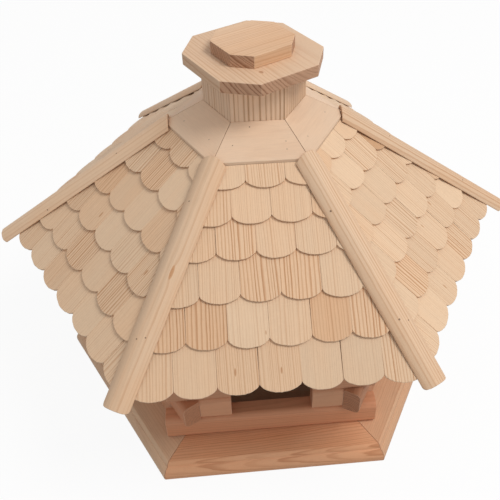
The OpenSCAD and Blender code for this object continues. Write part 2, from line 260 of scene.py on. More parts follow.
def nailMaterial():
    material = bpy.data.materials.new("nail_steel")
    tree = emptyTree(material)
    add, _, ramp, _, mix = nodeKit(tree)
    place = add("ShaderNodeTexCoord").outputs["Object"]
    spots = add("ShaderNodeTexNoise",
                {"Vector": place, "Scale": nailSteel["spots"], "Detail": 2.0}).outputs["Fac"]
    colour = mix(ramp(spots, 0.35, 0.65), rgb(*nailSteel["dark"]), rgb(*nailSteel["light"]))
    shader = add("ShaderNodeBsdfPrincipled",
                 {"Base Color": colour, "Roughness": ramp(spots, 0.3, 0.7, 0.4, 0.7)})
    shader.inputs["Metallic"].default_value = nailSteel["metal"]
    endTree(tree, shader)
    return material


# each timber is shaped on the front side, gets its grain, and is turned to its own side
timbers = {}                                          # piece name -> list of finished timbers


def lookOf(rng, **given):
    # where a timber lay in its log, and how light, ruddy and striped it is
    look = {
        "pith": (rng.uniform(40, 110) * rng.choice((-1, 1)), rng.uniform(-40, 40)),
        "lean": (rng.gauss(0, 1.0), rng.gauss(0, 1.0)),
        "light": rng.gauss(1.0, 0.03), "ruddy": rng.random() ** 2 * 0.35,
        "stripe": rng.choice((0.35, 0.6, 1.0)), "scale": rng.uniform(0.85, 1.2),
        "along": rng.uniform(0, 4000), "knot": None,
    }
    look.update(given)
    return look


def keepTimber(piece, solid, turn, axes, look, endLimit=0.75, toneAt=None):
    # axes: grain direction, across, and up, on the front side; turn: degrees about Z to the piece's side;
    # a knot is a place on the front side and a size;
    # toneAt scales the light, and adds ruddy and stripe, by place
    along, across, up = (Vector(axis).normalized() for axis in axes)
    solid.normal_update()
    solid.verts.index_update()
    verts = np.array([v.co for v in solid.verts], float).reshape(-1, 3)
    basis = np.array([along, across, up], float)
    local = verts @ basis.T
    middle = (local.min(0) + local.max(0)) / 2
    local = local - middle
    leanY, leanZ = (math.tan(math.radians(a)) for a in look["lean"])
    grain = np.empty_like(local)
    grain[:, 0] = local[:, 0] + look["along"]
    grain[:, 1] = (local[:, 1] + look["pith"][0] + leanY * local[:, 0]) / look["scale"]
    grain[:, 2] = (local[:, 2] + look["pith"][1] + leanZ * local[:, 0]) / look["scale"]
    knot = np.full_like(local, 0.0)
    if look["knot"]:
        place, size = look["knot"]
        centre = basis @ np.array(place, float) - middle
        knot[:, 0], knot[:, 1], knot[:, 2] = local[:, 0] - centre[0], local[:, 1] - centre[1], size
    else:
        knot[:, 0] = 900
    faces = [[v.index for v in f.verts] for f in solid.faces]
    ends = [1.0 if abs(f.normal.dot(along)) > endLimit else 0.0 for f in solid.faces]
    tone = np.tile([look["light"], look["ruddy"], look["stripe"]], (len(verts), 1))
    if toneAt:
        changes = np.array([toneAt(co) for co in verts])
        tone[:, 0] *= changes[:, 0]
        tone[:, 1:] += changes[:, 1:]
    angle = math.radians(turn)
    spin = np.array([[math.cos(angle), -math.sin(angle), 0],
                     [math.sin(angle), math.cos(angle), 0], [0, 0, 1]])
    # a face's material index marks an eased face, which gets the painted edge highlight
    timbers.setdefault(piece, []).append({
        "verts": verts @ spin.T * mm, "faces": faces, "grain": grain, "knot": knot, "tone": tone,
        "ends": ends, "edgeHighlights": [float(f.material_index) for f in solid.faces],
    })
    solid.free()


def buildPiece(piece, slot, nodes, smooth=0.0):
    # joins a piece's timbers into one mesh that stands for its nodes
    parts = timbers.pop(piece)
    verts, faces, ends, edgeHighlights, start = [], [], [], [], 0
    for part in parts:
        verts.append(part["verts"])
        faces += [[i + start for i in face] for face in part["faces"]]
        ends += part["ends"]
        edgeHighlights += part["edgeHighlights"]
        start += len(part["verts"])
    mesh = bpy.data.meshes.new(piece)
    mesh.from_pydata(np.concatenate(verts).tolist(), [], faces)
    for name in ("grain", "tone", "knot"):
        layer = mesh.attributes.new(name, "FLOAT_VECTOR", "POINT")
        layer.data.foreach_set("vector", np.concatenate([p[name] for p in parts]).astype(np.float32).ravel())
    # eased faces carry the mark for the painted edge highlight
    for name, values in (("endGrain", ends), ("edgeHighlight", edgeHighlights)):
        layer = mesh.attributes.new(name, "FLOAT", "FACE")
        layer.data.foreach_set("value", np.array(values, np.float32))
    mesh.materials.append(finishes[slot])
    thing = bpy.data.objects.new(piece, mesh)
    bpy.context.scene.collection.objects.link(thing)
    if smooth:
        mesh.shade_smooth()
        mesh.set_sharp_from_angle(angle=math.radians(smooth))
        weighted = thing.modifiers.new("weighted", "WEIGHTED_NORMAL")
        weighted.keep_sharp = True
    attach(thing, "root")
    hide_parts(*nodes)
    return thing


def buildNamed(node, slot, smooth=0.0):
    # the piece's name can't be the node's own, so it gets an ending
    timbers[node + "_wood"] = timbers.pop(node)
    return buildPiece(node + "_wood", slot, [node], smooth)


def slab(outline, sweep):
    # outline: closed loop of points in space; sweep: the vector it is drawn along
    solid = bmesh.new()
    low = [solid.verts.new(p) for p in outline]
    high = [solid.verts.new(Vector(p) + Vector(sweep)) for p in outline]
    count = len(outline)
    solid.faces.new(low)
    solid.faces.new(list(reversed(high)))
    for i in range(count):
        j = (i + 1) % count
        solid.faces.new((low[j], low[i], high[i], high[j]))
    bmesh.ops.recalc_face_normals(solid, faces=solid.faces[:])
    return solid

def loft(rings, highlightBand=None):
    # a closed solid through rings of points; one band of its faces may be marked for the painted edge
    # highlight
    solid = bmesh.new()
    loops = [[solid.verts.new(p) for p in ring] for ring in rings]
    count = len(loops[0])
    for band, (near, far) in enumerate(zip(loops, loops[1:])):
        for i in range(count):
            j = (i + 1) % count
            solid.faces.new((near[i], near[j], far[j], far[i])).material_index = int(band == highlightBand)
    solid.faces.new(list(reversed(loops[0])))
    solid.faces.new(loops[-1])
    bmesh.ops.recalc_face_normals(solid, faces=solid.faces[:])
    return solid


def cutAway(solid, point, normal):
    # removes what lies on the side the normal points to, and closes the cut
    geometry = solid.verts[:] + solid.edges[:] + solid.faces[:]
    cut = bmesh.ops.bisect_plane(solid, geom=geometry, plane_co=Vector(point), plane_no=Vector(normal),
                                 clear_outer=True, dist=1e-5)
    edges = [e for e in cut["geom_cut"] if isinstance(e, bmesh.types.BMEdge)]
    if edges:
        bmesh.ops.contextual_create(solid, geom=edges)
    bmesh.ops.recalc_face_normals(solid, faces=solid.faces[:])


def cutMitre(solid, sign, gap):
    # one end of a piece that meets the next side's at a corner of the hexagon
    normal = Vector((sign * cos30, 0.5, 0))
    cutAway(solid, normal * -gap, normal)


def easeEdges(solid, width, steps=2, limit=32):
    # eased edges are marked for a painted highlight: a paler colour that stands in for the light an edge
    # catches
    sharp = [e for e in solid.edges if len(e.link_faces) == 2
             and e.calc_face_angle(0) > math.radians(limit)]
    made = bmesh.ops.bevel(solid, geom=sharp, offset=width, segments=steps, profile=0.5, affect="EDGES",
                           clamp_overlap=True)
    for face in made["faces"]:
        face.material_index = 1


def arc(centre, radius, start, end, steps):
    points = []
    for i in range(steps + 1):
        angle = math.radians(start + (end - start) * i / steps)
        points.append((centre[0] + radius * math.cos(angle), centre[1] + radius * math.sin(angle)))
    return points


def wallPoint(reach, along, height):
    return (along, -reach, height)


wallAxes = ((1, 0, 0), (0, -1, 0), (0, 0, 1))


base = {"bead": (3.5, 6.0), "quirk": 0.8, "nose": 10.5, "foot": 4.0, "mitreGap": 0.15,
        "ease": 0.5, "spare": 5}


def mouldingArc(reach, low, out, high, steps):
    # convex, plumb at its foot
    bend = (out * out + high * high) / (2 * out)
    top = math.degrees(math.asin(high / bend))
    return arc((reach - bend, low), bend, 0, top, steps)


def baseProfile():
    inner = wallReach + feeder["baseLedge"] - feeder["baseWidth"]
    face = wallReach + feeder["baseLedge"]
    topEdge = face - base["nose"]
    beadOut, beadHigh = base["bead"]
    beadLow = baseThick - beadHigh
    low = mouldingArc(face, base["foot"], base["nose"] - beadOut - base["quirk"], beadLow - base["foot"], 7)
    high = mouldingArc(topEdge + beadOut, beadLow, beadOut, beadHigh, 5)
    return [(inner, 0), (face, 0)] + low + high + [(inner, baseThick)]


def makeBase():
    rng = random.Random(31)
    looks = {
        "front": dict(light=1.12, ruddy=0.85, stripe=1.0, pith=(-64, -34), lean=(2.0, 1.8), scale=0.9),
        "front_right": dict(light=1.0, ruddy=0.45, stripe=0.4, pith=(60, -30), lean=(1.0, 0.6)),
        "front_left": dict(light=1.0, ruddy=0.05, stripe=0.25, pith=(-70, -60), lean=(0.5, 1.0)),
    }
    profile = baseProfile()
    for side, name in enumerate(sideNames):
        half = (wallReach + feeder["baseLedge"]) * halfSide + base["spare"]
        board = slab([wallPoint(reach, -half, height) for reach, height in profile], (2 * half, 0, 0))
        for sign in (-1, 1):
            cutMitre(board, sign, base["mitreGap"])
        easeEdges(board, base["ease"], 2, 40)
        look = lookOf(rng, **looks.get(name, {"ruddy": rng.uniform(0.1, 0.5)}))
        keepTimber("base_board_" + name, board, 60 * side, wallAxes, look, 2)
        buildNamed("base_board_" + name, "base_wood", 28)


floorBoards = {"count": 5, "seam": 0.15, "gap": 0.2, "ease": 0.5, "light": 0.68}


def makeFloor():
    rng = random.Random(7)
    thick = feeder["floorThick"]
    face = wallReach + feeder["baseLedge"] - feeder["baseWidth"] - floorBoards["gap"]
    reach = face / cos30
    wide = 2 * reach * cos30 / floorBoards["count"]
    hexagon = [(reach * math.cos(math.radians(60 * k)), reach * math.sin(math.radians(60 * k)),
                baseThick - thick) for k in range(6)]
    for i in range(floorBoards["count"]):
        near, far = -reach * cos30 + wide * i, -reach * cos30 + wide * (i + 1)
        board = slab(hexagon, (0, 0, thick))
        cutAway(board, (0, near + floorBoards["seam"], 0), (0, -1, 0))
        cutAway(board, (0, far - floorBoards["seam"], 0), (0, 1, 0))
        easeEdges(board, floorBoards["ease"], 1)
        look = lookOf(rng, light=floorBoards["light"], pith=(rng.uniform(-60, 60), -60))
        keepTimber("floor_panel", board, 0, wallAxes, look, 0.9)
    buildNamed("floor_panel", "board_wood")


log = {"gap": 0.2, "ease": 0.6, "arcSteps": 7}


def logProfile(low, topCourse=False):
    r = feeder["logRound"]
    top = low + logHeight
    outline = [(wallInner, low)] + arc((wallReach - r, low + r), r, -90, 0, log["arcSteps"])
    if topCourse:
        return outline + [(wallReach, top + logHeight), (wallInner, top + logHeight)]
    return outline + arc((wallReach - r, top - r), r, 0, 90, log["arcSteps"]) + [(wallInner, top)]


def logPiece(course, start, end, topCourse=False):
    profile = logProfile(baseThick + course * logHeight, topCourse)
    return slab([wallPoint(reach, start, height) for reach, height in profile], (end - start, 0, 0))


def betweenWalls(solid):
    for sign in (-1, 1):
        normal = Vector((sign * cos30, -0.5, 0))       # outward of the neighbouring wall
        cutAway(solid, normal * (wallInner - log["gap"]), normal)


def underRoof(solid):
    # the roof boards' underside, of the front side and of both neighbours
    depth = (lay + feeder["boardThick"] + log["gap"]) / cosP
    for turn in (-60, 0, 60):
        out = Vector((math.sin(math.radians(turn)), -math.cos(math.radians(turn)), 0))
        normal = out * sinP + Vector((0, 0, cosP))
        cutAway(solid, out * wallReach + Vector((0, 0, crownZ(wallReach) - depth)), normal)


logLooks = {
    # (node, side, which piece of the wall): how it shows in front
    ("sill_logs", 0, 0): dict(light=1.2, ruddy=0.75, stripe=0.75, pith=(30, 60), lean=(0.3, 1.2)),
    ("blocks_straight", 0, 0): dict(light=1.1, ruddy=0.3, stripe=0.3, pith=(60, 20)),
    ("blocks_straight", 0, 1): dict(light=1.2, ruddy=0.45, stripe=0.35, pith=(70, -20)),
    ("short_logs_crossing", 5, 0): dict(light=1.05, ruddy=0.9, stripe=0.3),
    ("short_logs_crossing", 1, 1): dict(light=0.9, ruddy=0.5, stripe=1.3, scale=0.7),
}


def keepLog(node, side, index, solid, rng):
    easeEdges(solid, log["ease"], 2, 50)
    given = logLooks.get((node, side, index), {})
    look = lookOf(rng, pith=(rng.uniform(-16, 16), rng.uniform(-22, 22)),
                  lean=(rng.gauss(0, 0.7), rng.gauss(0, 0.7)), ruddy=rng.uniform(0.1, 0.8))
    look.update(given)
    keepTimber(node, solid, 60 * side, wallAxes, look)


def makeWalls():
    rng = random.Random(12)
    edge = feeder["opening"] / 2
    longReach, shortReach = wallCorner + feeder["sillPast"], wallCorner + feeder["shortPast"]
    for side in straightSides:
        keepLog("sill_logs", side, 0, logPiece(0, -longReach, longReach), rng)
        keepLog("lintel_logs", side, 0, logPiece(4, -shortReach, shortReach), rng)
        filler = logPiece(5, -wallReach, wallReach, True)
        betweenWalls(filler)
        underRoof(filler)
        keepLog("top_fillers", side, 0, filler, rng)
        index = 0
        for course in (1, 3):
            for start, end in ((edge, wallReach), (-wallReach, -edge)):
                solid = logPiece(course, start, end)
                betweenWalls(solid)
                keepLog("blocks_straight", side, index, solid, rng)
                index += 1
        keepLog("short_logs_straight", side, 0, logPiece(2, edge, shortReach), rng)
        keepLog("short_logs_straight", side, 1, logPiece(2, -shortReach, -edge), rng)
    for side in crossingSides:
        for node, course in (("sill_fillers", 0), ("lintel_fillers", 4)):
            filler = logPiece(course, -wallReach, wallReach)
            betweenWalls(filler)
            keepLog(node, side, 0, filler, rng)
        index = 0
        for course in (1, 3):
            keepLog("short_logs_crossing", side, index, logPiece(course, edge, shortReach), rng)
            keepLog("short_logs_crossing", side, index + 1, logPiece(course, -shortReach, -edge), rng)
            index += 2
        for index, (start, end) in enumerate(((edge, wallReach), (-wallReach, -edge))):
            solid = logPiece(2, start, end)
            betweenWalls(solid)
            keepLog("blocks_crossing", side, index, solid, rng)
        top = logPiece(5, -wallCorner, wallCorner, True)
        underRoof(top)
        keepLog("top_logs", side, 0, top, rng)
    for node in ("sill_logs", "sill_fillers", "short_logs_crossing", "blocks_straight", "short_logs_straight",
                 "blocks_crossing", "lintel_logs", "lintel_fillers", "top_logs", "top_fillers"):
        buildNamed(node, "log_wood", 24)


def roofPoint(across, slope, height):
    # front face: across to the right, slope down from over the centre, height square to the roof boards
    reach = slope * cosP + height * sinP
    top = crownZ(0) - lay / cosP
    return Vector((across, -reach, top - slope * sinP + height * cosP))


roofDown = tuple(roofPoint(0, 1, 0) - roofPoint(0, 0, 0))
roofUp = tuple(roofPoint(0, 0, 1) - roofPoint(0, 0, 0))
roofAxes = (roofDown, (1, 0, 0), roofUp)


def slopeAt(reach, height):
    return (reach - height * sinP) / cosP


shingle = {
    "width": 39.0, "widthSpread": 0.6, "thick": 3.0, "thickSpread": 0.12, "lift": 0.2, "rest": 0.05,
    "buttDepth": 8.8, "blunt": 0.6, "buttPoints": 22, "buttShare": 0.85, "shoulder": 0.55,
    "ragged": (0.08, 0.22), "gap": (0.03, 0.3), "ease": 0.45, "seamEase": 0.12, "lap": 1.36, "lapMore": 3,
    "topShow": 36, "neckGap": 4, "jitter": 0.45, "lean": 0.35, "hipMargin": (1.2, 3.0), "least": 3,
}
# lowest courses first: centre to the butts, and the seams across, as they lie on the three sides in view
courseReach = {
    "front": (256.7, 223.3, 190.6, 158.3, 131.5, 104.0),
    "front_right": (250.3, 222.0, 192.2, 160.9, 130.5, 102.5),
    "front_left": (252.1, 224.7, 194.8, 164.9, 132.9, 102.7),
    "back_right": (252.5, 221.5, 191.4, 161.0, 130.6, 102.6),
    "back": (251.6, 222.4, 191.8, 160.4, 131.2, 103.0),
    "back_left": (252.9, 221.9, 190.9, 160.8, 130.9, 102.9),
}
courseSeams = {
    "front": (
        (-134.3, -95.3, -55.2, -16.2, 23.6, 62.2, 100.9, 139.9),
        (-81.8, -42.8, -3.6, 36.2, 74.7, 111.9), (-67.2, -28.3, 10.5, 49.5, 88.5),
        (-87.6, -49.0, -10.4, 27.8, 67.4), (-70.6, -32.0, 6.7, 46.4), (-55.5, -16.5, 22.7),
    ),
    "front_right": (
        (-135.1, -97.6, -58.8, -20.8, 16.9, 54.9, 93.8, 132.8),
        (-121.1, -82.1, -44.1, -4.6, 33.6, 71.9, 110.9), (-106.7, -68.1, -28.6, 9.7, 48.7, 85.1),
        (-89.1, -50.1, -13.0, 26.6, 65.1), (-74.0, -35.0, 1.6, 43.7), (-21.9, 16.2, 55.2),
    ),
    "front_left": (
        (-131.0, -92.0, -52.0, -14.9, 26.1, 63.7, 102.7),
        (-124.1, -85.1, -43.6, -4.5, 35.5, 73.6, 113.7), (-106.4, -67.4, -27.4, 12.2, 51.8, 90.9),
        (-85.4, -46.4, -10.2, 29.0, 68.1), (-67.2, -28.2, 10.9, 50.1), (-53.9, -14.9, 23.3),
    ),
}


def seamsFor(name, course, half, rng):
    if name in courseSeams:
        return list(courseSeams[name][course])
    place = -half - rng.uniform(0, shingle["width"])
    seams = []
    while place < half:
        seams.append(place)
        place += shingle["width"] + rng.gauss(0, shingle["widthSpread"])
    return [s for s in seams if -half < s < half]


def courseEdges(name, course, half, rng):
    # one course's seams and its two ends, a little past the hips
    past, width = 4, shingle["width"]
    edges = [-half - past] + seamsFor(name, course, half, rng) + [half + past]
    if edges[1] - edges[0] > width * 1.1:
        edges.insert(1, edges[1] - width)
    if edges[-1] - edges[-2] > width * 1.1:
        edges.insert(-1, edges[-2] + width)
    return edges


def shingleOutline(left, right, butt, length, rng):
    # across and slope pairs, from the upper left round the butt
    middle, half = (left + right) / 2, (right - left) / 2
    shoulder = butt - length * shingle["shoulder"]
    side, end = shingle["ragged"]
    outline = [(left, butt - length), (left, shoulder)]
    for i in range(shingle["buttPoints"] + 1):
        t = -math.cos(math.pi * i / shingle["buttPoints"])
        drop = shingle["buttDepth"] * (1 - (1 - min(1.0, abs(t)) ** 2) ** shingle["blunt"])
        outline.append((middle + half * t + rng.uniform(-side, side), butt - drop + rng.uniform(-end, end)))
    return outline + [(right, shoulder), (right, butt - length)]


def clipOutline(outline, inside):
    # keeps what a straight edge leaves; inside gives a distance that is positive on the kept side
    kept = []
    for (a, b) in zip(outline, outline[1:] + outline[:1]):
        da, db = inside(a), inside(b)
        if da >= 0:
            kept.append(a)
        if (da >= 0) != (db >= 0):
            t = da / (da - db)
            kept.append((a[0] + (b[0] - a[0]) * t, a[1] + (b[1] - a[1]) * t))
    return kept


def insetOutline(outline, widthAt):
    made = []
    count = len(outline)
    for i in range(count):
        before, here, after = (Vector(outline[k % count]) for k in (i - 1, i, i + 1))
        first, second = (here - before).normalized(), (after - here).normalized()
        normal = Vector((-first.y - second.y, first.x + second.x))
        if normal.length < 1e-6:
            normal = Vector((-first.y, first.x))
        normal.normalize()
        made.append(tuple(here + normal * widthAt(here)))
    return made


def shingleSolid(outline, butt, length, thick, lift):
    # a thin slab that leans on the course below: its butt is high and its upper end is on the boards
    area = sum(a[0] * b[1] - b[0] * a[1] for a, b in zip(outline, outline[1:] + outline[:1]))
    if area < 0:
        outline = list(reversed(outline))

    def at(point, height):
        across, slope = point
        rise = lift * (1 - (butt - slope) / length)
        return roofPoint(across, slope, max(shingle["rest"], rise) + height)

    def easeAt(point):
        onButt = point.y > butt - shingle["buttDepth"] * shingle["buttShare"]
        return shingle["ease"] if onButt else shingle["seamEase"]

    # the eased band round the upper face is marked for the painted edge highlight
    rings = ((outline, 0.0), (outline, thick - shingle["ease"]), (insetOutline(outline, easeAt), thick))
    return loft([[at(p, height) for p in ring] for ring, height in rings], 1)


def hipRoom(point):
    # how far across the hip lies, level with the shingles' upper faces
    return (point[1] * cosP + shingle["thick"] * sinP) * halfSide


def shapeShingle(edges, index, butt, length, rng):
    # a cut shingle was as wide as the rest; where the hips leave nothing of it, there is none
    left, right = edges[index], edges[index + 1]
    wholeLeft, wholeRight = left, right
    if right - left < shingle["width"] * 0.9:
        if index == 0:
            wholeLeft = right - shingle["width"]
        elif index == len(edges) - 2:
            wholeRight = left + shingle["width"]
    jitter = rng.gauss(0, shingle["jitter"])
    gap = rng.uniform(*shingle["gap"])
    outline = shingleOutline(wholeLeft + gap / 2, wholeRight - gap / 2, butt + jitter, length, rng)
    lean = math.tan(math.radians(rng.gauss(0, shingle["lean"])))
    middle = (left + right) / 2
    outline = [(a + (s - butt) * lean, s + (a - middle) * lean) for a, s in outline]
    margin = rng.uniform(*shingle["hipMargin"])
    for sign in (-1, 1):
        outline = clipOutline(outline, lambda p: hipRoom(p) - sign * p[0] - margin)
    places = [across for across, slope in outline]
    if len(outline) < 4 or max(places) - min(places) < shingle["least"]:
        return None
    thick = shingle["thick"] + rng.uniform(-shingle["thickSpread"], shingle["thickSpread"])
    lift = lay - shingle["thick"] + rng.uniform(-shingle["lift"], shingle["lift"])
    return shingleSolid(outline, butt, length, thick, lift)


shingleLooks = {
    # (course from the eave, place from the left): the ones that stand out
    "front": {
        (0, 1): dict(stripe=0.7, ruddy=0.25), (0, 2): dict(stripe=0.35, ruddy=0.2, light=0.97),
        (0, 3): dict(stripe=0.8, ruddy=0.36, light=0.98), (0, 4): dict(stripe=0.7, ruddy=0.32, light=0.98),
        (0, 5): dict(stripe=0.2, ruddy=0.12, light=0.93), (0, 6): dict(stripe=0.2, ruddy=0.08, light=0.91),
        (1, 1): dict(stripe=1.3, ruddy=0.5, scale=1.15), (1, 2): dict(stripe=1.6, ruddy=0.6, scale=1.2),
        (1, 3): dict(stripe=0.4, ruddy=0.0, light=1.0), (1, 4): dict(stripe=0.5, ruddy=0.2, light=1.0),
        (1, 5): dict(stripe=0.8, ruddy=0.75, light=0.98), (1, 6): dict(stripe=1.6, ruddy=0.4, scale=1.2),
        (2, 1): dict(stripe=0.6, ruddy=0.2), (2, 2): dict(stripe=0.6, ruddy=0.25, light=1.02),
        (2, 3): dict(stripe=1.4, ruddy=0.42, light=1.03, scale=1.15),
        (2, 4): dict(stripe=1.5, ruddy=0.4, light=1.03, scale=1.2),
        (2, 5): dict(stripe=0.5, ruddy=0.08, light=0.98), (3, 1): dict(stripe=0.8, ruddy=0.35, light=1.02),
        (3, 2): dict(stripe=1.4, ruddy=0.35, light=1.04, scale=1.1),
        (3, 3): dict(stripe=0.6, ruddy=0.25, light=1.03), (3, 4): dict(stripe=0.6, ruddy=0.15, light=1.0),
        (4, 1): dict(stripe=1.0, ruddy=0.35, light=1.03), (4, 2): dict(stripe=0.4, ruddy=0.25, light=1.04),
        (4, 3): dict(stripe=0.5, ruddy=0.25, light=1.03), (4, 4): dict(stripe=0.6, ruddy=0.5),
        (5, 1): dict(stripe=0.3, ruddy=0.15, light=1.02), (5, 2): dict(stripe=0.9, ruddy=0.2, light=1.02),
    },
    "front_right": {
        (0, 5): dict(stripe=1.5, ruddy=0.2, light=0.99, scale=1.2),
        (1, 2): dict(stripe=1.5, ruddy=0.35, light=1.03, scale=1.2),
        (4, 4): dict(stripe=0.3, ruddy=1.0, light=0.84),
    },
    "front_left": {
        (1, 3): dict(stripe=1.5, ruddy=0.3), (1, 5): dict(stripe=1.5, ruddy=0.3),
        (3, 1): dict(stripe=0.9, ruddy=0.6), (4, 2): dict(stripe=1.5, ruddy=0.4, light=1.03),
        (4, 3): dict(stripe=0.1, ruddy=0.0, light=1.03),
    },
}
sideTones = {"front": (0.99, 0.22), "front_right": (0.99, 0.03), "front_left": (1.0, 0.1)}
restTone = (1.0, 0.12)
# small knots: across, reach and size
shingleKnots = {
    "front": ((-38, 240, 0.9), (5, 241, 0.8), (-7, 213, 0.5)),
    "front_right": ((47.6, 192.9, 0.8), (8.4, 196.0, 0.7), (-38.6, 237.1, 0.7)),
    "front_left": ((70.4, 177.8, 0.9), (-36.4, 176.9, 1.0)),
    "back": ((30, 200, 1.0), (-55, 150, 0.8)),
    "back_right": ((-20, 180, 0.9),),
    "back_left": ((44, 225, 1.0),),
}


def shingleLook(name, course, index, left, right, rng):
    light, ruddy = sideTones.get(name, restTone)
    look = lookOf(rng, light=rng.gauss(light, 0.025), ruddy=max(0, rng.gauss(ruddy, 0.13)),
                  stripe=rng.choice((0.2, 0.4, 0.6, 0.8, 1.1)),
                  pith=(rng.choice((-1, 1)) * rng.uniform(60, 140), rng.uniform(-25, 25)),
                  lean=(rng.gauss(0, 0.7), rng.gauss(0, 0.5)), scale=rng.uniform(0.65, 1.2))
    reaches = courseReach[name]
    above = reaches[course + 1] - 9 if course < 5 else 80
    for across, place, size in shingleKnots[name]:
        if left < across < right and above < place < reaches[course] - 1:
            look["knot"] = (tuple(roofPoint(across, slopeAt(place, lay), lay)), size)
    look.update(shingleLooks.get(name, {}).get((course, index), {}))
    return look


def makeShingles():
    total = 0
    top = slopeAt(neckFace + shingle["neckGap"], lay)
    for side, name in enumerate(sideNames):
        rng = random.Random(500 + side)
        reaches = courseReach[name]
        for course, reach in enumerate(reaches):
            butt = slopeAt(reach, lay)
            upper = slopeAt(reaches[course + 1], lay) if course < 5 else butt - shingle["topShow"]
            length = min((butt - upper) * shingle["lap"] + shingle["lapMore"], butt - top)
            edges = courseEdges(name, course, reach * halfSide, rng)
            for index, (left, right) in enumerate(zip(edges, edges[1:])):
                solid = shapeShingle(edges, index, butt, length, rng)
                if not solid:
                    continue
                if course == 5:
                    cutAway(solid, (0, -feeder["collarFace"] - 0.05, 0), (0, 1, 0))
                look = shingleLook(name, course, index, left, right, rng)
                keepTimber("shingles_" + name, solid, 60 * side, roofAxes, look)
                total += 1
        buildNamed("shingles_" + name, "shingle_wood")
    print("shingles laid:", total)


roofBoards = {"count": 3, "seam": 0.2, "mitreGap": 0.15, "ease": 0.4, "spare": 10}


def makeRoofBoards():
    # boards laid level, with tight seams
    rng = random.Random(44)
    count = roofBoards["count"]
    lowest = hipFace - feeder["capPast"] - feeder["buttPast"]
    half = lowest * halfSide + roofBoards["spare"]
    under = lay + feeder["boardThick"]
    for side, name in enumerate(sideNames):
        for part in range(count):
            low = lowest - (lowest - neckFace) * part / count
            high = lowest - (lowest - neckFace) * (part + 1) / count + roofBoards["seam"]
            corners = [wallPoint(reach, -half, crownZ(reach) - depth / cosP)
                       for reach, depth in ((high, lay), (low, lay), (low, under), (high, under))]
            board = slab(corners, (2 * half, 0, 0))
            for sign in (-1, 1):
                cutMitre(board, sign, roofBoards["mitreGap"])
            easeEdges(board, roofBoards["ease"], 1)
            look = lookOf(rng, pith=(rng.uniform(-40, 40), -50), lean=(rng.gauss(0, 0.6), rng.gauss(0, 2)))
            keepTimber("roof_board_" + name, board, 60 * side, ((1, 0, 0), roofDown, roofUp), look, 0.6)
        buildNamed("roof_board_" + name, "board_wood")


# heights are over the line where the shingles' crowns meet, square to the hip
cap = {"width": 28.0, "crest": 4.5, "flat": 6.0, "edge": 1.2, "curve": 19.0, "corner": 4.5, "ease": 0.45,
       "over": 2.4, "sink": 0.7, "lift": 0.2, "collarGap": 0.3, "plumbFrom": 12, "steps": 6}
hipPitch = math.atan(tanP * cos30)
hipFall = tanP * 0.5 * math.cos(hipPitch)
hipDown = Vector((0, -math.cos(hipPitch), -math.sin(hipPitch)))
hipUp = Vector((0, -math.sin(hipPitch), math.cos(hipPitch)))
hipEnd = Vector((0, -feeder["hipReach"], crownZ(hipFace)))
hipNames = ["front_right", "right", "back_right", "back_left", "left", "front_left"]


def hipPoint(along, across, height, plumb=0.0):
    # along the hip from its outer end, across, and square to it; plumb shears a section upright
    slide = along + plumb * height * math.tan(hipPitch)
    return hipEnd - hipDown * slide + hipUp * height + Vector((across, 0, 0))


def capTop(across):
    # flat crest, convex sides down to the thin edge
    across = abs(across)
    if across <= cap["flat"] / 2:
        return cap["crest"]
    half = cap["width"] / 2
    inner, edge = Vector((cap["flat"] / 2, cap["crest"])), Vector((half, cap["edge"] - half * hipFall))
    chord = edge - inner
    inward = math.sqrt(cap["curve"] ** 2 - chord.length_squared / 4)
    centre = (inner + edge) / 2 - Vector((-chord.y, chord.x)).normalized() * inward
    return centre.y + math.sqrt(cap["curve"] ** 2 - (across - centre.x) ** 2)


def capLoop(half, sunk):
    # across and height pairs of one section, with half the width and how far the top is sunk
    def under(across):
        return cap["lift"] - abs(across) * hipFall

    def over(across):
        return capTop(across) - min(sunk, 0.6 * (capTop(across) - under(across)))

    ease, flat, steps = cap["ease"], cap["flat"] / 2, cap["steps"]
    side = half - 3 * ease
    places = [half - ease, side] + [flat + (side - flat) * k / steps for k in range(steps - 1, -1, -1)]
    right = [(half, under(half)), (half, over(half) - ease * 0.6)] + [(x, over(x)) for x in places]
    return [(0, under(0))] + right + [(-x, y) for x, y in reversed(right)]


def capStations():
    # from the outer end: place, half the width, how far the top is sunk, and whether it is cut plumb
    half, corner, ease, over = cap["width"] / 2, cap["corner"], cap["ease"], cap["over"]
    upperEnd = (feeder["hipReach"] - collarReach - cap["collarGap"]) / math.cos(hipPitch)
    eased = math.sqrt(corner ** 2 - (corner - ease) ** 2)
    stations = [(0.0, half - corner, ease, 0.0), (ease, half - corner + eased, 0.0, 0.0)]
    for degrees in range(30, 91, 15):
        turn = math.radians(degrees)
        stations.append((corner * (1 - math.cos(turn)), half - corner + corner * math.sin(turn), 0.0, 0.0))
    stations.append((corner + cap["plumbFrom"], half, 0.0, 1.0))
    for degrees in range(0, 91, 18):
        turn = math.radians(degrees)
        sunk = over * (1 - math.cos(turn)) * cap["sink"]
        stations.append((upperEnd - over * (1 - math.sin(turn)), half, sunk, 1.0))
    return stations


